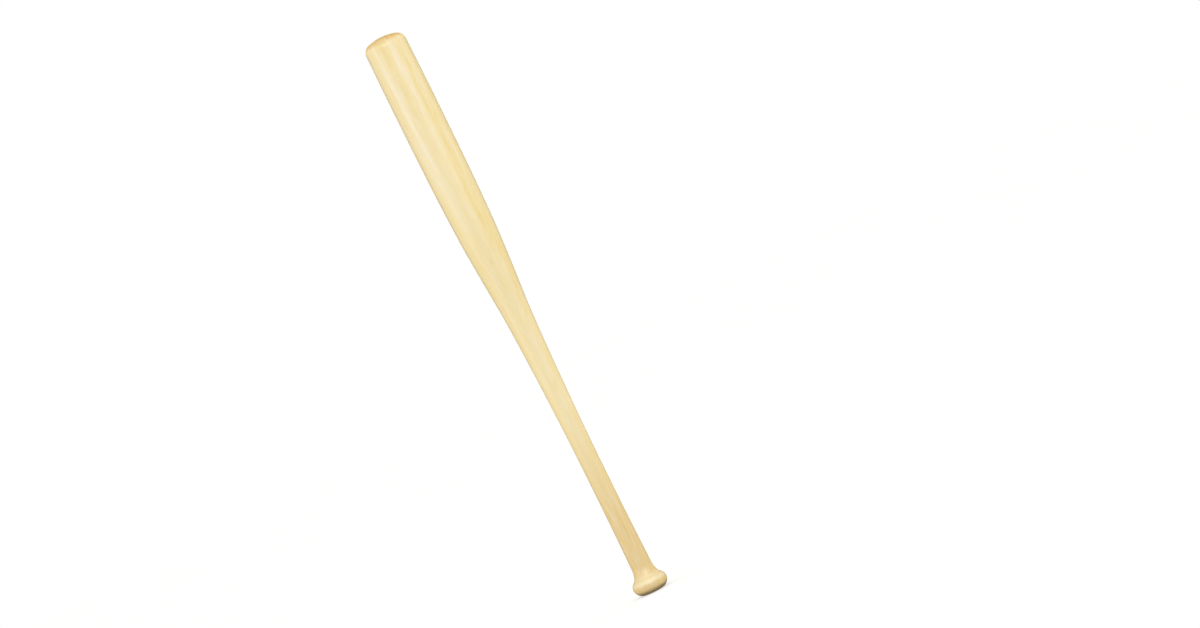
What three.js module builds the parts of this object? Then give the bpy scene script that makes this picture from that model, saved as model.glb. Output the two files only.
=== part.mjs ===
// A wooden baseball bat, turned in one piece from a single billet.
// Units are millimetres. +Z runs along the bat's axis, and the knob stands on z = 0.

import * as THREE from "three";
import { mergeVertices } from "three/addons/utils/BufferGeometryUtils.js";

// Driving dimensions: z is the height above the knob's end face.
const LENGTH = 864;
const KNOB_RADIUS = 25.75;
const KNOB_WIDEST_Z = 13;
const KNOB_FACE_RADIUS = 12.75;
const KNOB_SHOULDER_RADIUS = 11;
const KNOB_TOP_Z = 23;
const FLARE_TOP_Z = 40;
const FLARE_TOP_RADIUS = 15.05;
const END_RADIUS = 30.8;
const END_CORNER_RADIUS = 13;
const END_DOME_RADIUS = 70;

// The body between the flare and the barrel's end, as [height, radius] stations on one smooth curve.
const BODY_STATIONS = [
  [75, 14.55],
  [110, 14.3],
  [150, 14.2],
  [240, 14.5],
  [320, 16.1],
  [390, 18.2],
  [440, 20.5],
  [490, 24.1],
  [550, 28.0],
  [620, 30.15],
  [700, 31.0],
  [780, 31.2],
];

// Fineness: steps along each stretch of the outline, and round the axis.
const KNOB_STEPS = 6;
const FLARE_STEPS = 6;
const BODY_STEPS = 36;
const END_CORNER_STEPS = 7;
const END_DOME_STEPS = 4;
const SEGMENTS_ROUND = 48;
const MERGE_TOLERANCE = 1e-4;

const RIGHT_ANGLE = Math.PI / 2;

const lacqueredWood = new THREE.MeshStandardMaterial({
  name: "lacquered_wood",
  color: 0xf0deaf,
  roughness: 0.35,
  metalness: 0,
});

// Points of an arc in the half-plane of radius and height, from one angle to another, both ends included.
function arc(centreR, centreZ, radius, fromAngle, toAngle, steps) {
  const points = [];
  for (let i = 0; i <= steps; i++) {
    const angle = fromAngle + ((toAngle - fromAngle) * i) / steps;
    const r = centreR + radius * Math.cos(angle);
    const z = centreZ + radius * Math.sin(angle);
    points.push(new THREE.Vector2(r, z));
  }
  return points;
}

// The knob: a flat end face, a full lower round, and a tighter shoulder above the widest ring.
function knobOutline() {
  const lowerRound = KNOB_RADIUS - KNOB_FACE_RADIUS;
  const shoulderEnd = Math.asin((KNOB_TOP_Z - KNOB_WIDEST_Z) / KNOB_SHOULDER_RADIUS);
  const lower = arc(KNOB_FACE_RADIUS, KNOB_WIDEST_Z, lowerRound, -RIGHT_ANGLE, 0, KNOB_STEPS);
  const shoulderCentre = KNOB_RADIUS - KNOB_SHOULDER_RADIUS;
  const shoulder = arc(shoulderCentre, KNOB_WIDEST_Z, KNOB_SHOULDER_RADIUS, 0, shoulderEnd, KNOB_STEPS);
  return [...lower, ...shoulder.slice(1)];
}

// The hollow flare from the knob's crease up to the handle, which it meets without a corner.
function flareOutline(crease) {
  const rise = FLARE_TOP_Z - crease.y;
  const spread = crease.x - FLARE_TOP_RADIUS;
  const radius = (rise * rise + spread * spread) / (2 * spread);
  const creaseAngle = Math.PI + Math.asin(rise / radius);
  return arc(FLARE_TOP_RADIUS + radius, FLARE_TOP_Z, radius, creaseAngle, Math.PI, FLARE_STEPS);
}

// The long curve of the handle, the taper and the barrel.
function bodyOutline(start, end) {
  const stations = BODY_STATIONS.map(([z, r]) => new THREE.Vector2(r, z));
  const curve = new THREE.SplineCurve([start, ...stations, end]);
  return curve.getPoints(BODY_STEPS);
}

// The barrel's end: a rounded corner that runs on into a shallow dome.
function endOutline() {
  const cornerCentreR = END_RADIUS - END_CORNER_RADIUS;
  const centreDistance = END_DOME_RADIUS - END_CORNER_RADIUS;
  const domeCentreZ = LENGTH - END_DOME_RADIUS;
  const cornerCentreZ = domeCentreZ + Math.sqrt(centreDistance ** 2 - cornerCentreR ** 2);
  const joinAngle = Math.acos(cornerCentreR / centreDistance);
  const corner = arc(cornerCentreR, cornerCentreZ, END_CORNER_RADIUS, 0, joinAngle, END_CORNER_STEPS);
  const dome = arc(0, domeCentreZ, END_DOME_RADIUS, joinAngle, RIGHT_ANGLE, END_DOME_STEPS);
  return [...corner, ...dome.slice(1)];
}

// The whole outline, from the axis at the knob's face to the axis at the barrel's end.
function batOutline() {
  const knob = knobOutline();
  const flare = flareOutline(knob.at(-1));
  const end = endOutline();
  const body = bodyOutline(flare.at(-1), end[0]);
  end.at(-1).x = 0;
  const bottomCentre = new THREE.Vector2(0, 0);
  return [bottomCentre, ...knob, ...flare.slice(1), ...body.slice(1), ...end.slice(1)];
}

// Turns an outline about the Z axis into one closed surface.
function turned(outline) {
  const geometry = new THREE.LatheGeometry(outline, SEGMENTS_ROUND);
  geometry.rotateX(RIGHT_ANGLE);
  geometry.deleteAttribute("normal");
  geometry.deleteAttribute("uv");
  return mergeVertices(geometry, MERGE_TOLERANCE);
}

// The bat itself: knob, handle, taper and barrel are one piece of wood.
function batBody() {
  const mesh = new THREE.Mesh(turned(batOutline()), lacqueredWood);
  mesh.name = "bat_body";
  return mesh;
}

const bat = new THREE.Group();
bat.name = "baseball_bat";
bat.add(batBody());

export default bat;
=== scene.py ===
"""Looks of the baseball bat: one turned piece of pale lacquered wood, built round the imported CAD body."""

import math

import bpy
import numpy as np
from mathutils import Euler, Matrix, Vector


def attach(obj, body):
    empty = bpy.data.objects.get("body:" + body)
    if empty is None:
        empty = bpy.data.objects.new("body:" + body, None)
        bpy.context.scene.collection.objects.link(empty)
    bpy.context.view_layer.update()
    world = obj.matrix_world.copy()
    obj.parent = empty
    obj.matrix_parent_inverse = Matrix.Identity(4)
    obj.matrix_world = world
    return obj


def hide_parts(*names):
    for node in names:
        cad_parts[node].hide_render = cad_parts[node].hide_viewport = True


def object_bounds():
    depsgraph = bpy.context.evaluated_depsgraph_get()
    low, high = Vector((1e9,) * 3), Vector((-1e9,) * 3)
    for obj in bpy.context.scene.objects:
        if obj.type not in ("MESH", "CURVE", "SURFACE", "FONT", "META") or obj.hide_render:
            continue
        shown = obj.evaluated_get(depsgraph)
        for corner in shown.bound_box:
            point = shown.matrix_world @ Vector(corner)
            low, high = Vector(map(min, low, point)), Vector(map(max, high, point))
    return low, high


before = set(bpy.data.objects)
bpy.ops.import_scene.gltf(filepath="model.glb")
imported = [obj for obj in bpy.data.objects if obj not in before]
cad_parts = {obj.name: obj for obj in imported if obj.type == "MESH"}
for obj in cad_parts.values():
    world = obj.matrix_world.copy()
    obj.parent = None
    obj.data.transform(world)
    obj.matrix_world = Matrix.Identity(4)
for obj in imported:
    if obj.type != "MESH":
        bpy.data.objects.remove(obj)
cad_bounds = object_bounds()

MM = 0.001
CAD_NODE = "bat_body"
BODY = "root"

FOOT_Z = cad_bounds[0][2]
LENGTH = cad_bounds[1][2] - FOOT_Z


def along(part):
    """The height at a part of the bat's length, from 0 at the knob's face to 1 at the barrel's end."""
    return FOOT_Z + part * LENGTH


def add_object(name, data):
    """A new object in the scene."""
    added = bpy.data.objects.new(name, data)
    bpy.context.scene.collection.objects.link(added)
    return added


# ---------------------------------------------------------------------------------------------
# The turned body
# ---------------------------------------------------------------------------------------------

# Fineness of the mesh: steps along the outline near the ends and along the body, and round the axis.
END_STEP = 0.5 * MM
BODY_STEP = 2.3 * MM
END_REACH = 56 * MM
STEP_BLEND = 22 * MM
SEGMENTS_ROUND = 160

# An outline corner that turns inwards by more than this is the crease between the knob and the flare.
CREASE_TURN = math.radians(15)
EDGE_SOFTNESS = 1.3 * MM
SOFTENING_REACH = 4 * EDGE_SOFTNESS
SAMPLE_STEP = 0.1 * MM

# CAD points at one height, to a micrometre, are one ring. Past the axis the outline runs on mirrored.
HEIGHT_DECIMALS = 6
SAME_SLOPE = 1e-9
ACROSS_AXIS = np.array([-1.0, 1.0])
MIRRORED_POINTS = 2

# Fine rings from the gouge near both ends. Their spacing wanders a little.
TURNING_RING_DEPTH = 0.018 * MM
TURNING_RING_PITCH = 2.4 * MM
TURNING_RING_REACH = 36 * MM
TURNING_RING_WANDER = 0.6
TURNING_RING_WANDER_PITCH = 7.3 * TURNING_RING_PITCH

# Long hollows from sanding by hand: each wave's length along the bat, turns round it, phase and share.
SANDING_WAVE_DEPTH = 0.06 * MM
SANDING_WAVES = [
    (210 * MM, 2, 0.0, 1.0),
    (83 * MM, -1, 1.3, 0.7),
    (47 * MM, 3, 0.4, 0.5),
]

# The wood has dried slightly oval, and the lathe's centres have left a dimple at both ends.
OVALITY = 0.0016
OVAL_ANGLE = 0.6
CENTRE_MARK_RADIUS = 1.6 * MM
CENTRE_MARK_DEPTH = 0.9 * MM
CENTRE_MARK_SHARPNESS = 2.2
CALM_RADIUS = 6 * CENTRE_MARK_RADIUS


def cad_outline(node):
    """The CAD outline as (radius, height) points, from the knob's face centre up to the barrel's apex."""
    points = np.array([v.co for v in node.data.vertices], float)
    radius = np.hypot(points[:, 0], points[:, 1])
    height = np.round(points[:, 2], HEIGHT_DECIMALS)
    rings = [(radius[height == z].max(), z) for z in np.unique(height)]
    apex = (0.0, rings[-1][1])
    return np.array([(0.0, rings[0][1]), *rings[:-1], apex])


def arc_lengths(points):
    """The distance along a polyline to each of its points."""
    steps = np.hypot(*np.diff(points, axis=0).T)
    return np.concatenate([[0.0], np.cumsum(steps)])


def crease_index(points):
    """The index of the one corner that turns sharply inwards."""
    ahead = np.diff(points, axis=0)
    direction = np.arctan2(ahead[:, 1], ahead[:, 0])
    turn = np.diff(direction)
    if turn.min() > -CREASE_TURN:
        raise ValueError("the outline has no crease")
    return int(np.argmin(turn)) + 1


def akima_slopes(at, values):
    """Slopes of an Akima spline: straight stretches stay straight, and arcs stay round."""
    secant = np.diff(values) / np.diff(at)
    first = secant[0]
    last = secant[-1]
    wide = np.concatenate([
        [3 * first - 2 * secant[1], 2 * first - secant[1]],
        secant,
        [2 * last - secant[-2], 3 * last - 2 * secant[-2]],
    ])
    before = np.abs(wide[1:-2] - wide[:-3])
    after = np.abs(wide[3:] - wide[2:-1])
    total = before + after
    even = total < SAME_SLOPE
    safe = np.where(even, 1.0, total)
    weighted = (after * wide[1:-2] + before * wide[2:-1]) / safe
    return np.where(even, 0.5 * (wide[1:-2] + wide[2:-1]), weighted)


def spline(at, values, where):
    """A smooth curve through the values, read at the given places."""
    slopes = akima_slopes(at, values)
    i = np.clip(np.searchsorted(at, where, side="right") - 1, 0, len(at) - 2)
    width = at[i + 1] - at[i]
    t = (where - at[i]) / width
    rise = t * t * (3 - 2 * t)
    start_bend = t * (1 - t) ** 2 * width
    end_bend = t * t * (t - 1) * width
    level = values[i] * (1 - rise) + values[i + 1] * rise
    return level + slopes[i] * start_bend + slopes[i + 1] * end_bend


def before_start(points, count):
    """The outline's mirror image across the axis, leading up to its first point."""
    return points[1:count + 1][::-1] * ACROSS_AXIS


def after_end(points, count):
    """The outline's mirror image across the axis, leading away from its last point."""
    return points[-count - 1:-1][::-1] * ACROSS_AXIS


def smooth_stretch(points, first, last):
    """The outline from one of its points to another as a smooth curve with no corner, sampled finely."""
    at = arc_lengths(points)
    count = int(round((at[last] - at[first]) / SAMPLE_STEP))
    where = np.linspace(at[first], at[last], count + 1)
    return np.column_stack([spline(at, points[:, 0], where), spline(at, points[:, 1], where)])


def softened(points):
    """The outline with its crease eased by a small round, as sanding and lacquer leave it."""
    reach = int(round(SOFTENING_REACH / SAMPLE_STEP))
    offsets = np.arange(-reach, reach + 1) * SAMPLE_STEP
    weights = np.exp(-0.5 * (offsets / EDGE_SOFTNESS) ** 2)
    weights /= weights.sum()
    wide = np.concatenate([before_start(points, reach), points, after_end(points, reach)])
    return np.column_stack([np.convolve(wide[:, i], weights, mode="valid") for i in range(2)])


def fine_outline(node):
    """The smooth outline through the CAD rings."""
    points = cad_outline(node)
    crease = crease_index(points)
    knob = np.concatenate([before_start(points, MIRRORED_POINTS), points[:crease + 1]])
    rest = np.concatenate([points[crease:], after_end(points, MIRRORED_POINTS)])
    lower = smooth_stretch(knob, MIRRORED_POINTS, len(knob) - 1)
    upper = smooth_stretch(rest, 0, len(rest) - 1 - MIRRORED_POINTS)
    outline = softened(np.concatenate([lower, upper[1:]]))
    outline[0, 0] = 0.0
    outline[-1, 0] = 0.0
    return outline


def smoothstep(value):
    """0 below 0, 1 above 1, and a smooth rise between them."""
    t = np.clip(value, 0, 1)
    return t * t * (3 - 2 * t)


def ring_places(total):
    """Distances along the outline at which the mesh has a ring: close near both ends, wider between."""
    places = [0.0]
    while places[-1] < total:
        from_end = min(places[-1], total - places[-1])
        ease = float(smoothstep((from_end - END_REACH) / STEP_BLEND))
        places.append(places[-1] + END_STEP + (BODY_STEP - END_STEP) * ease)
    return np.array(places) * total / places[-1]


def with_centre_marks(outline):
    """The outline with the small dimples that the lathe's centres leave at both ends."""
    radius = outline[:, 0]
    height = outline[:, 1]
    dip = CENTRE_MARK_DEPTH * np.exp(-CENTRE_MARK_SHARPNESS * (radius / CENTRE_MARK_RADIUS) ** 2)
    upper_half = height > 0.5 * height.max()
    return np.column_stack([radius, np.where(upper_half, height - dip, height + dip)])


def turning_rings(at, total):
    """Fine rings left by the gouge near both ends, as a height above the outline."""
    from_end = np.minimum(at, total - at)
    fade = 1 - smoothstep((from_end - TURNING_RING_REACH) / STEP_BLEND)
    wander = TURNING_RING_WANDER * np.sin(2 * math.pi * at / TURNING_RING_WANDER_PITCH)
    return TURNING_RING_DEPTH * fade * np.cos(2 * math.pi * at / TURNING_RING_PITCH + wander)


def sanding_waves(height, angle):
    """Long faint hollows that hand sanding leaves along the body, as a height above the outline."""
    wave = np.zeros_like(angle)
    for length, turns, phase, share in SANDING_WAVES:
        wave += share * np.sin(2 * math.pi * height / length + turns * angle + phase)
    return SANDING_WAVE_DEPTH * wave / sum(share for *_, share in SANDING_WAVES)


def outline_normals(outline):
    """Unit vectors that point out of the wood, square to the outline."""
    ahead = np.gradient(outline, axis=0)
    ahead /= np.hypot(ahead[:, 0], ahead[:, 1])[:, None]
    return np.column_stack([ahead[:, 1], -ahead[:, 0]])


def body_rings(node):
    """Every ring of the mesh as an array of points, bottom to top, with the tiny rings at both poles."""
    fine = fine_outline(node)
    at = arc_lengths(fine)
    total = at[-1]
    places = ring_places(total)
    outline = np.column_stack([np.interp(places, at, fine[:, i]) for i in range(2)])
    outline = with_centre_marks(outline)
    normals = outline_normals(outline)
    angle = np.arange(SEGMENTS_ROUND) * 2 * math.pi / SEGMENTS_ROUND
    rings = []
    for place, (radius, height), (out_r, out_z) in zip(places, outline, normals):
        away = float(smoothstep(radius / CALM_RADIUS))
        gouged = turning_rings(place, total)
        oval = OVALITY * radius * (np.cos(2 * (angle - OVAL_ANGLE)) - 1)
        relief = gouged + sanding_waves(height, angle) * away - SANDING_WAVE_DEPTH + oval
        wide = radius + relief * out_r * away
        tall = height + gouged * out_z * away
        level = np.full_like(angle, tall)
        rings.append(np.column_stack([wide * np.cos(angle), wide * np.sin(angle), level]))
    return rings


def bat_faces(ring_count):
    """The faces of a tube of rings with a fan at both ends. The first and last points are the poles."""
    faces = []
    around = range(SEGMENTS_ROUND)
    for i in around:
        faces.append((0, 1 + (i + 1) % SEGMENTS_ROUND, 1 + i))
    for ring in range(ring_count - 1):
        low = 1 + ring * SEGMENTS_ROUND
        high = low + SEGMENTS_ROUND
        for i in around:
            j = (i + 1) % SEGMENTS_ROUND
            faces.append((low + i, low + j, high + j, high + i))
    last = 1 + (ring_count - 1) * SEGMENTS_ROUND
    apex = last + SEGMENTS_ROUND
    for i in around:
        faces.append((last + i, last + (i + 1) % SEGMENTS_ROUND, apex))
    return faces


def turned_bat(node):
    """The whole bat as one closed smooth mesh, with a pole at each end."""
    rings = body_rings(node)
    bottom = rings[0].mean(axis=0)
    top = rings[-1].mean(axis=0)
    inner = rings[1:-1]
    vertices = np.concatenate([bottom[None], *inner, top[None]])
    mesh = bpy.data.meshes.new("turned_bat")
    mesh.from_pydata(vertices.tolist(), [], bat_faces(len(inner)))
    mesh.validate()
    mesh.shade_smooth()
    return add_object("turned_bat", mesh)


# ---------------------------------------------------------------------------------------------
# Shader helpers
# ---------------------------------------------------------------------------------------------

def new_node(tree, kind, inputs=None, **settings):
    """A new shader node, with its properties set and its inputs filled with values or nodes' outputs."""
    node = tree.nodes.new("ShaderNode" + kind)
    for name, value in settings.items():
        setattr(node, name, value)
    for key, value in (inputs or {}).items():
        if isinstance(value, bpy.types.NodeSocket):
            tree.links.new(value, node.inputs[key])
        else:
            node.inputs[key].default_value = value
    return node


def maths(tree, operation, a, b=0.0):
    """One sum on numbers or sockets."""
    return new_node(tree, "Math", {0: a, 1: b}, operation=operation).outputs[0]


def vector_maths(tree, operation, a, b):
    """One sum on vectors."""
    return new_node(tree, "VectorMath", {0: a, 1: b}, operation=operation).outputs[0]


def remap(tree, value, span, to_low=0.0, to_high=1.0):
    """A value carried smoothly from a span over to another range, and held beyond the span's ends."""
    ends = {"Value": value, "From Min": span[0], "From Max": span[1], "To Min": to_low, "To Max": to_high}
    return new_node(tree, "MapRange", ends, interpolation_type="SMOOTHSTEP").outputs[0]


def chosen(tree, switch, off, on):
    """The first value where the switch is 0, and the second where it is 1."""
    return new_node(tree, "Mix", {0: switch, 2: off, 3: on}, data_type="FLOAT").outputs[0]


def noise(tree, where, scale, shift=(0, 0, 0), detail=3.0, roughness=0.5, output="Fac"):
    """Noise whose blobs are 1/scale metres long on each axis. The shift picks a stretch of the pattern."""
    place = new_node(tree, "Mapping", {"Vector": where, "Scale": scale, "Location": shift}).outputs[0]
    settings = {"Vector": place, "Scale": 1.0, "Detail": detail, "Roughness": roughness}
    return new_node(tree, "TexNoise", settings).outputs[output]


def mixed(tree, factor, a, b, blend="MIX"):
    """Two colours mixed or multiplied."""
    node = new_node(tree, "Mix", {0: factor, 6: a, 7: b}, data_type="RGBA", blend_type=blend)
    return node.outputs[2]


def tinted(tree, factor, colour, tint):
    """A colour multiplied by a tint, as far as the factor says."""
    return mixed(tree, factor, colour, tint, "MULTIPLY")


def ramp(tree, value, stops):
    """A colour read from a smooth scale of (place, colour) stops."""
    node = new_node(tree, "ValToRGB", {0: value})
    scale = node.color_ramp
    scale.interpolation = "EASE"
    scale.elements[0].position, scale.elements[0].color = stops[0]
    scale.elements[1].position, scale.elements[1].color = stops[-1]
    for place, colour in stops[1:-1]:
        scale.elements.new(place).color = colour
    return node.outputs[0]


# ---------------------------------------------------------------------------------------------
# Lacquered wood
# ---------------------------------------------------------------------------------------------

# The grain runs a little off the bat's axis, and the tree's centre lay behind the bat.
GRAIN_TILT = Euler((math.radians(0.9), math.radians(1.6), 0.0))
GRAIN_TURN = math.radians(9)
PITH = (-0.012, 0.052, 0.0)
ACROSS_GRAIN = (1, 1, 0)

# Growth rings: their spacing, their wander in years, how late in a year they darken, and where a year ends.
RING_SPACING = 2.6 * MM
RING_WANDER = 1.6
RING_SHARPNESS = 2.6
RING_EDGE = (0.90, 1.0)

# The wood's colours, from the darkest streak to the palest, each with its place on the scale of tones.
WOOD_TONES = [
    (0.0, (0.705, 0.555, 0.235, 1)),
    (0.28, (0.725, 0.600, 0.305, 1)),
    (0.5, (0.735, 0.622, 0.360, 1)),
    (0.74, (0.743, 0.645, 0.425, 1)),
    (1.0, (0.750, 0.670, 0.500, 1)),
]
MIDDLE_TONE = 0.56
NOISE_MIDDLE = 0.5
MINERAL_BROWN = (0.600, 0.400, 0.180, 1)
# Painted highlight: the knob's upward-facing shoulder made paler, where light glints off it.
SHOULDER_PAINTED_HIGHLIGHT = (0.730, 0.635, 0.430, 1)

# Tints that the wood's colour is multiplied by.
# Partly the end grain's own darker colour, partly painted shade where the barrel's end faces up into the
# light.
END_GRAIN_AND_SHADE_TINT = (0.825, 0.765, 0.67, 1)
RIM_TINT = (0.93, 0.76, 0.52, 1)
# Painted shade: the wood darker the more it faces down, away from the light.
UNDERSIDE_PAINTED_SHADE = (0.81, 0.76, 0.65, 1)
# Painted shade: the knob's foot much darker where it faces the floor.
FOOT_PAINTED_SHADE = (0.31, 0.31, 0.30, 1)
# Partly painted shade of a holding hand, partly handling grime: the handle darker towards the knob.
HANDLE_SHADE_AND_GRIME_TINT = (0.875, 0.795, 0.69, 1)

# Patterns in the grain. A scale says how many blobs go into a metre along each axis: Z follows the fibres.
GRAIN_DRIFT = {"scale": (5, 5, 1.6), "detail": 1.0, "output": "Color"}
RING_UNEVENNESS = {"scale": (30, 30, 5), "detail": 2.0}
FLAMES = {"scale": (70, 70, 2.4), "shift": (3, 0, 1), "detail": 2.0}
STREAKS = {"scale": (260, 260, 10), "shift": (0, 5, 0), "detail": 4.0, "roughness": 0.6}
DASHES = {"scale": (560, 560, 32), "shift": (7, 3, 2), "detail": 2.0}
FIBRES = {"scale": (1300, 1300, 28), "shift": (0, 0, 7), "roughness": 0.6}
MOTTLE = {"scale": (190, 190, 110), "shift": (2, 8, 5), "detail": 2.0}
FLECKS = {"scale": (240, 240, 22), "shift": (9, 2, 4), "detail": 2.0}
SOAKING = {"scale": (160, 160, 160), "shift": (4, 4, 1), "roughness": 0.6}
RELIEF = {"scale": (1500, 1500, 26), "shift": (1, 4, 2), "detail": 4.0, "roughness": 0.6}
PORES = {"scale": (3400, 3400, 190), "shift": (6, 1, 3), "detail": 1.0}

# How strongly each pattern shows.
DRIFT_REACH = (0.016, 0.016, 0)
FLAMES_ON_HANDLE = 0.50
FLAMES_ON_BARREL = 1.15
STREAK_STRENGTH = 0.95
DASHES_AT_KNOB = 2.2
DASHES_ON_HANDLE = 0.35
DASHES_ON_BARREL = 1.7
FIBRE_STRENGTH = 0.5
MOTTLE_STRENGTH = 0.8
RINGS_ON_SIDE = -0.16
RINGS_ON_END = -0.80
FLECK_STRENGTH = 0.30
SOAKED_LEAST = 0.2
SHOULDER_HIGHLIGHT_STRENGTH = 0.6
PORE_DEPTH = 0.5
RELIEF_STRENGTH = 0.35
RELIEF_DEPTH = 0.04 * MM

# The parts of a noise's range over which flecks, soaked patches, pores and gloss come in.
FLECK_EDGE = (0.66, 0.78)
SOAKING_EDGE = (0.35, 0.65)
PORE_EDGE = (0.62, 0.74)
SATIN_EDGE = (0.25, 0.75)

# Heights over which the looks change.
SHOULDER_TOP = (along(0.0231), along(0.0347))
HANDLE_SHADE_AND_GRIME_REACH = (along(0.0579), along(0.3704))
KNOB_DASH_REACH = (along(0.1157), along(0.2315))
FLAME_RISE = (along(0.3241), along(0.6366))
DASH_RISE = (along(0.7176), along(0.9722))
BARREL = (along(0.8102), along(0.9259))

# How far a surface faces up, from -1 to 1, where the looks change. The first two count up and down alike.
FLAT_FACING = (0.80, 0.97)
SLANT_FACING = (0.15, 0.70)
RIM_FACING = (0.965, 0.995)
END_GRAIN_AND_SHADE_FACING = (0.02, 0.97)
BARE_FACING = (0.04, 0.40)
SHOULDER_HIGHLIGHT_FACING = (0.0, 0.4)
UNDERSIDE_SHADE_FACING = (0.25, -0.6)
FOOT_SHADE_FACING = (-0.28, -0.84)

# The satin lacquer. The barrel's end has soaked it up, and is bare of it.
SATIN_ROUGHNESS = (0.38, 0.50)
WOOD_IOR = 1.45
WOOD_SPECULAR = 0.15
COAT_WEIGHT = 0.8
COAT_ROUGHNESS = 0.27
COAT_IOR = 1.5


def grain_space(tree):
    """Coordinates with Z along the fibres, which wander a little from side to side."""
    place = new_node(tree, "TexCoord").outputs["Object"]
    turn = (GRAIN_TILT.to_matrix() @ Matrix.Rotation(GRAIN_TURN, 3, "Z")).to_euler()
    tilted = new_node(tree, "Mapping", {"Vector": place, "Rotation": tuple(turn)}).outputs[0]
    drift = vector_maths(tree, "SUBTRACT", noise(tree, tilted, **GRAIN_DRIFT), (NOISE_MIDDLE,) * 3)
    sideways = vector_maths(tree, "MULTIPLY", drift, DRIFT_REACH)
    return vector_maths(tree, "ADD", tilted, sideways)


def surface_places(tree):
    """Where a point is on the bat: its height, and how far its surface faces up, from -1 to 1."""
    place = new_node(tree, "TexCoord")
    height = new_node(tree, "SeparateXYZ", {0: place.outputs["Object"]}).outputs["Z"]
    facing = new_node(tree, "SeparateXYZ", {0: place.outputs["Normal"]}).outputs["Z"]
    return height, facing


def pith_distance(tree, grain):
    """Distance from the centre of the tree, in metres."""
    from_pith = vector_maths(tree, "SUBTRACT", grain, PITH)
    across = vector_maths(tree, "MULTIPLY", from_pith, ACROSS_GRAIN)
    return new_node(tree, "VectorMath", {0: across}, operation="LENGTH").outputs["Value"]


def growth_rings(tree, grain):
    """0 in the pale spring wood, rising to 1 at each ring's dark edge."""
    years = maths(tree, "DIVIDE", pith_distance(tree, grain), RING_SPACING)
    wander = maths(tree, "MULTIPLY", noise(tree, grain, **RING_UNEVENNESS), RING_WANDER)
    part = maths(tree, "FRACT", maths(tree, "ADD", years, wander))
    rise = maths(tree, "POWER", part, RING_SHARPNESS)
    fall = remap(tree, part, RING_EDGE, 1.0, 0.0)
    return maths(tree, "MULTIPLY", rise, fall)


def signed_noise(tree, grain, pattern, strength):
    """A pattern about zero, with a strength that can be a number or a socket."""
    centred = maths(tree, "SUBTRACT", noise(tree, grain, **pattern), NOISE_MIDDLE)
    return maths(tree, "MULTIPLY", centred, strength)


def wood_tone(tree, grain, height, facing):
    """How pale the wood is, from 0 for the darkest streak to 1 for the palest."""
    squareness = maths(tree, "ABSOLUTE", facing)
    flat = remap(tree, squareness, FLAT_FACING)
    slant = maths(tree, "SUBTRACT", remap(tree, squareness, SLANT_FACING), flat)
    flames = remap(tree, height, FLAME_RISE, FLAMES_ON_HANDLE, FLAMES_ON_BARREL)
    knob_dashes = remap(tree, height, KNOB_DASH_REACH, DASHES_AT_KNOB, 0.0)
    body_dashes = remap(tree, height, DASH_RISE, DASHES_ON_HANDLE, DASHES_ON_BARREL)
    rings = remap(tree, flat, (0.0, 1.0), RINGS_ON_SIDE, RINGS_ON_END)
    layers = [
        signed_noise(tree, grain, FLAMES, flames),
        signed_noise(tree, grain, STREAKS, STREAK_STRENGTH),
        signed_noise(tree, grain, DASHES, maths(tree, "ADD", knob_dashes, body_dashes)),
        signed_noise(tree, grain, FIBRES, FIBRE_STRENGTH),
        signed_noise(tree, grain, MOTTLE, maths(tree, "MULTIPLY", slant, MOTTLE_STRENGTH)),
        maths(tree, "MULTIPLY", growth_rings(tree, grain), rings),
    ]
    tone = layers[0]
    for layer in layers[1:]:
        tone = maths(tree, "ADD", tone, layer)
    return maths(tree, "ADD", tone, MIDDLE_TONE)


def streaked_colour(tree, grain, height, facing):
    """The colour of the fresh wood, with its streaks, rings and a few brown flecks."""
    colour = ramp(tree, wood_tone(tree, grain, height, facing), WOOD_TONES)
    flecks = remap(tree, noise(tree, grain, **FLECKS), FLECK_EDGE, 0.0, FLECK_STRENGTH)
    return mixed(tree, flecks, colour, MINERAL_BROWN)


def end_grain_and_shade_tinted(tree, colour, grain, facing, end_grain_and_shade):
    """The barrel's end darker, partly as end grain whose cut fibres soak up lacquer and partly as painted
    shade where it faces up into the light, and patchy and browner round its rim.
    """
    soaked = remap(tree, noise(tree, grain, **SOAKING), SOAKING_EDGE, SOAKED_LEAST, 1.0)
    rim = maths(tree, "MULTIPLY", end_grain_and_shade, remap(tree, facing, RIM_FACING, 1.0, 0.0))
    colour = tinted(tree, end_grain_and_shade, colour, END_GRAIN_AND_SHADE_TINT)
    return tinted(tree, maths(tree, "MULTIPLY", rim, soaked), colour, RIM_TINT)


def painted_light_and_grime(tree, colour, height, facing):
    """Painted shade and highlight, with some grime: darker where the wood faces down and darkest at the
    foot, the handle darker towards the knob as painted shade of a holding hand and handling grime, and a
    painted highlight that makes the knob's shoulder paler.
    """
    colour = tinted(tree, remap(tree, facing, UNDERSIDE_SHADE_FACING), colour, UNDERSIDE_PAINTED_SHADE)
    colour = tinted(tree, remap(tree, facing, FOOT_SHADE_FACING), colour, FOOT_PAINTED_SHADE)
    colour = tinted(tree, remap(tree, height, HANDLE_SHADE_AND_GRIME_REACH, 1.0, 0.0), colour, HANDLE_SHADE_AND_GRIME_TINT)
    on_knob = remap(tree, height, SHOULDER_TOP, 1.0, 0.0)
    # Painted highlight on the knob's shoulder, stronger the more it faces up.
    shoulder_highlight = maths(tree, "MULTIPLY", on_knob, remap(tree, facing, SHOULDER_HIGHLIGHT_FACING))
    return mixed(tree, maths(tree, "MULTIPLY", shoulder_highlight, SHOULDER_HIGHLIGHT_STRENGTH), colour, SHOULDER_PAINTED_HIGHLIGHT)


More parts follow.
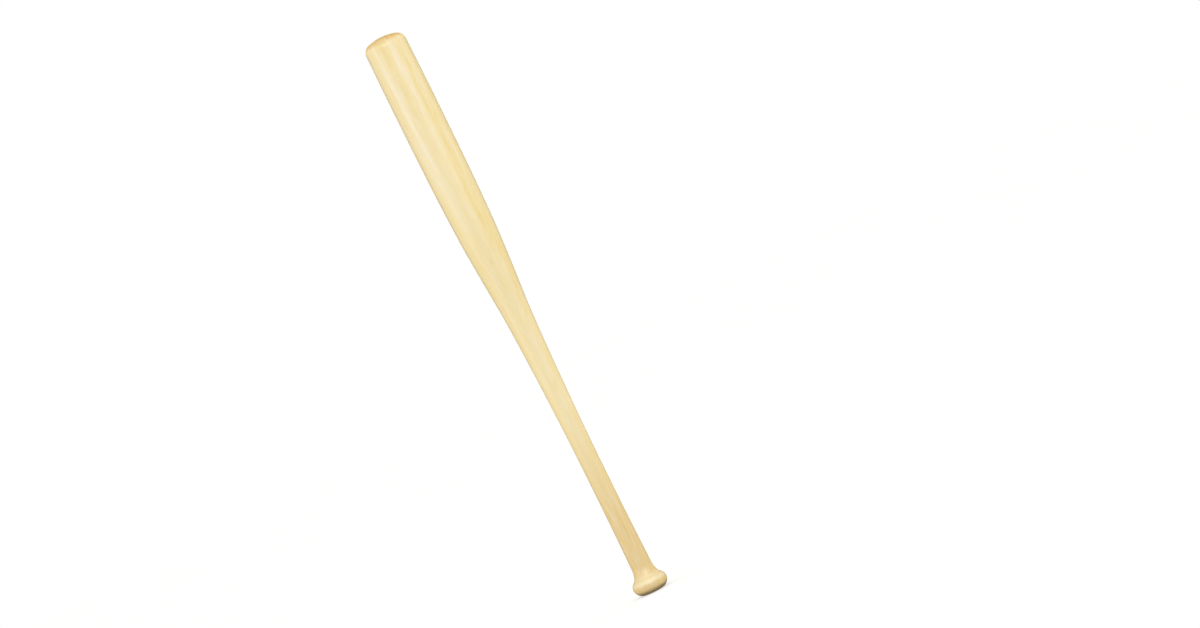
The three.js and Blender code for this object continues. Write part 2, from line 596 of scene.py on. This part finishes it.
def fibre_bump(tree, grain, fibre):
    """The surface bent a little by its fibres and fine pores."""
    pores = remap(tree, noise(tree, grain, **PORES), PORE_EDGE, 0.0, PORE_DEPTH)
    relief = maths(tree, "SUBTRACT", fibre, pores)
    inputs = {"Height": relief, "Strength": RELIEF_STRENGTH, "Distance": RELIEF_DEPTH}
    return new_node(tree, "Bump", inputs).outputs[0]


def lacquered_wood():
    """Pale close-grained wood under a clear satin lacquer."""
    material = bpy.data.materials.new("lacquered_wood")
    material.use_nodes = True
    tree = material.node_tree
    tree.nodes.clear()
    grain = grain_space(tree)
    height, facing = surface_places(tree)
    barrel = remap(tree, height, BARREL)
    end_grain_and_shade = maths(tree, "MULTIPLY", barrel, remap(tree, facing, END_GRAIN_AND_SHADE_FACING))
    bare = maths(tree, "MULTIPLY", barrel, remap(tree, facing, BARE_FACING))
    colour = streaked_colour(tree, grain, height, facing)
    colour = end_grain_and_shade_tinted(tree, colour, grain, facing, end_grain_and_shade)
    colour = painted_light_and_grime(tree, colour, height, facing)
    fibre = noise(tree, grain, **RELIEF)
    shader = new_node(tree, "BsdfPrincipled", {
        "Base Color": colour,
        "Roughness": remap(tree, fibre, SATIN_EDGE, *SATIN_ROUGHNESS),
        "Normal": fibre_bump(tree, grain, fibre),
        "IOR": WOOD_IOR,
        "Specular IOR Level": WOOD_SPECULAR,
        "Coat Weight": remap(tree, bare, (0.0, 1.0), COAT_WEIGHT, 0.0),
        "Coat Roughness": COAT_ROUGHNESS,
        "Coat IOR": COAT_IOR,
    })
    new_node(tree, "OutputMaterial", {"Surface": shader.outputs[0]})
    return material


# ---------------------------------------------------------------------------------------------
# Floor, light and camera
# ---------------------------------------------------------------------------------------------

WHITE = (1.0, 1.0, 1.0, 1)

FLOOR_RADIUS = 14.0
FLOOR_SIDES = 96
FLOOR_LOOK = {
    "Base Color": (0.355, 0.362, 0.385, 1),
    "Roughness": 1.0,
    "Specular IOR Level": 0.0,
    "Emission Color": WHITE,
    "Emission Strength": 0.547,
}

# The key light: a soft sun in front of the bat and above it.
KEY_STRENGTH = 0.95
KEY_ELEVATION = math.radians(25)
KEY_AZIMUTH = math.radians(5)
KEY_ANGLE = math.radians(32)

# Softboxes: name, azimuth, lower and upper edge, width and radiance.
SOFTBOXES = [
    ("softbox_right", math.radians(30), 0.42, 1.20, 0.80, 1.6),
    ("softbox_left", math.radians(-60), 0.10, 1.20, 1.2, 0.8),
]
SOFTBOX_DISTANCE = 2.0

# The world's strengths. Light reaches the wood, and gloss is what the lacquer mirrors.
BACKDROP_STRENGTH = 1.0
FRONT_LIGHT = 1.0
SKY_LIGHT = 0.64
GROUND_LIGHT = 0.78
SIDE_LIGHT = 1.40
BACK_LIGHT = 0.45
FRONT_GLOSS = 1.0
BACK_GLOSS = 0.20
OVERHEAD_GLOSS = 2.5

# The world's tints away from the front.
SIDE_WHITE = (1.03, 0.975, 0.80, 1)
BACK_WARM = (1.0, 0.76, 0.42, 1)

# Spans of the direction's Y, from -1 in front of the bat to 1 behind it, over which the world changes.
FRONT_SPAN = (-0.8, 0.3)
BESIDE_SPAN = (-0.8, 0.1)
BEHIND_SPAN = (0.25, 0.95)
OVERHEAD_DEPTH = (-0.50, 0.10)

# Spans of the direction's Z, from -1 below the bat to 1 above it.
ABOVE_SPAN = (-0.7, 0.7)
OVERHEAD_SPAN = (0.40, 0.75)

# The view: a level camera that is rolled, so that the standing bat leans left in the picture.
VIEW_ELEVATION = math.radians(1)
VIEW_ROLL = math.radians(26.20)
VIEW_DISTANCE = 4.2
VIEW_WIDTH = 1.94444 * LENGTH
AIM_SIDEWAYS = 0.13322 * LENGTH
AIM_ABOVE = 0.00104 * LENGTH
SENSOR_WIDTH = 36.0
CLIP_END = 100


def pale_floor():
    """A wide plain floor, near white, with only a faint shadow where the bat stands."""
    mesh = bpy.data.meshes.new("floor")
    angles = [2 * math.pi * i / FLOOR_SIDES for i in range(FLOOR_SIDES)]
    rim = [(FLOOR_RADIUS * math.cos(a), FLOOR_RADIUS * math.sin(a), 0) for a in angles]
    mesh.from_pydata(rim, [], [range(FLOOR_SIDES)])
    material = bpy.data.materials.new("pale_floor")
    material.use_nodes = True
    shader = material.node_tree.nodes["Principled BSDF"]
    for name, value in FLOOR_LOOK.items():
        shader.inputs[name].default_value = value
    mesh.materials.append(material)
    floor = add_object("floor", mesh)
    floor.location.z = FOOT_Z
    floor.visible_diffuse = False
    floor.visible_glossy = False


def towards(azimuth, elevation):
    """The unit vector from the bat to a light. Azimuth 0 is in front, and grows towards +X."""
    level = math.cos(elevation)
    return Vector((math.sin(azimuth) * level, -math.cos(azimuth) * level, math.sin(elevation)))


def facing_bat(azimuth, elevation):
    """The rotation of a light that shines on the bat from a direction."""
    return towards(azimuth, elevation).to_track_quat("Z", "Y").to_euler()


def soft_sun(name, strength, azimuth, elevation, angle):
    """A distant light as wide as a large diffuser."""
    light = bpy.data.lights.new(name, "SUN")
    light.energy = strength
    light.angle = angle
    sun = add_object(name, light)
    sun.rotation_euler = facing_bat(azimuth, elevation)


def softbox(name, azimuth, low, high, width, radiance):
    """An upright rectangular light that faces the bat's axis."""
    light = bpy.data.lights.new(name, "AREA")
    light.shape = "RECTANGLE"
    light.size = width
    light.size_y = high - low
    light.energy = radiance * math.pi * light.size * light.size_y
    box = add_object(name, light)
    box.location = towards(azimuth, 0.0) * SOFTBOX_DISTANCE
    box.location.z = 0.5 * (low + high)
    box.rotation_euler = facing_bat(azimuth, 0.0)
    box.visible_camera = False


def studio_light():
    """Plain soft studio light in front: a soft sun from above, and a softbox on each side."""
    soft_sun("key", KEY_STRENGTH, KEY_AZIMUTH, KEY_ELEVATION, KEY_ANGLE)
    for box in SOFTBOXES:
        softbox(*box)


def soft_surroundings(tree, rise, beside, behind):
    """The strength of the light from all round: strongest at the sides, and a little stronger below."""
    side_light = maths(tree, "MULTIPLY", beside, SIDE_LIGHT)
    back_light = maths(tree, "MULTIPLY", behind, BACK_LIGHT)
    around = maths(tree, "ADD", maths(tree, "ADD", side_light, back_light), FRONT_LIGHT)
    return maths(tree, "MULTIPLY", remap(tree, rise, ABOVE_SPAN, GROUND_LIGHT, SKY_LIGHT), around)


def mirrored_surroundings(tree, rise, depth, in_front):
    """The strength that the lacquer mirrors: strong from overhead in front, and weak from behind."""
    level = maths(tree, "MULTIPLY", in_front, FRONT_GLOSS - BACK_GLOSS)
    overhead = remap(tree, rise, OVERHEAD_SPAN, 0.0, OVERHEAD_GLOSS)
    overhead = maths(tree, "MULTIPLY", overhead, remap(tree, depth, OVERHEAD_DEPTH, 1.0, 0.0))
    return maths(tree, "ADD", maths(tree, "ADD", level, BACK_GLOSS), overhead)


def white_world():
    """A plain white backdrop, with one soft light for the wood and another for what its gloss mirrors."""
    world = bpy.data.worlds.new("studio")
    world.use_nodes = True
    bpy.context.scene.world = world
    tree = world.node_tree
    tree.nodes.clear()
    towards_sky = new_node(tree, "TexCoord").outputs["Generated"]
    direction = new_node(tree, "SeparateXYZ", {0: towards_sky})
    depth = direction.outputs["Y"]
    rise = direction.outputs["Z"]
    in_front = remap(tree, depth, FRONT_SPAN, 1.0, 0.0)
    behind = remap(tree, depth, BEHIND_SPAN)
    beside = maths(tree, "SUBTRACT", remap(tree, depth, BESIDE_SPAN), behind)
    ray = new_node(tree, "LightPath")
    glossy = ray.outputs["Is Glossy Ray"]
    backdrop = ray.outputs["Is Camera Ray"]
    strength = soft_surroundings(tree, rise, beside, behind)
    strength = chosen(tree, glossy, strength, mirrored_surroundings(tree, rise, depth, in_front))
    strength = chosen(tree, backdrop, strength, BACKDROP_STRENGTH)
    tint = mixed(tree, beside, WHITE, SIDE_WHITE)
    tint = mixed(tree, glossy, tint, mixed(tree, in_front, BACK_WARM, WHITE))
    tint = mixed(tree, backdrop, tint, WHITE)
    sky = new_node(tree, "Background", {"Color": tint, "Strength": strength})
    new_node(tree, "OutputWorld", {"Surface": sky.outputs[0]})


def camera():
    """The photograph's view: the bat leans left, and sits left of the picture's middle."""
    centre = 0.5 * (Vector(cad_bounds[0]) + Vector(cad_bounds[1]))
    forward = Vector((0, math.cos(VIEW_ELEVATION), -math.sin(VIEW_ELEVATION)))
    level_right = Vector((1, 0, 0))
    level_up = Vector((0, math.sin(VIEW_ELEVATION), math.cos(VIEW_ELEVATION)))
    right = math.cos(VIEW_ROLL) * level_right - math.sin(VIEW_ROLL) * level_up
    up = math.sin(VIEW_ROLL) * level_right + math.cos(VIEW_ROLL) * level_up
    aim = centre + AIM_SIDEWAYS * right + AIM_ABOVE * up
    data = bpy.data.cameras.new("camera")
    data.sensor_width = SENSOR_WIDTH
    data.lens = SENSOR_WIDTH * VIEW_DISTANCE / VIEW_WIDTH
    data.clip_end = CLIP_END
    viewer = add_object("camera", data)
    turn = Matrix((right, up, -forward)).transposed()
    viewer.matrix_world = Matrix.Translation(aim - VIEW_DISTANCE * forward) @ turn.to_4x4()
    bpy.context.scene.camera = viewer


# ---------------------------------------------------------------------------------------------
# The scene
# ---------------------------------------------------------------------------------------------

bat = turned_bat(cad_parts[CAD_NODE])
bat.data.materials.append(lacquered_wood())
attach(bat, BODY)
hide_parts(CAD_NODE)

pale_floor()
white_world()
studio_light()
camera()
bpy.context.scene.view_settings.view_transform = "Standard"
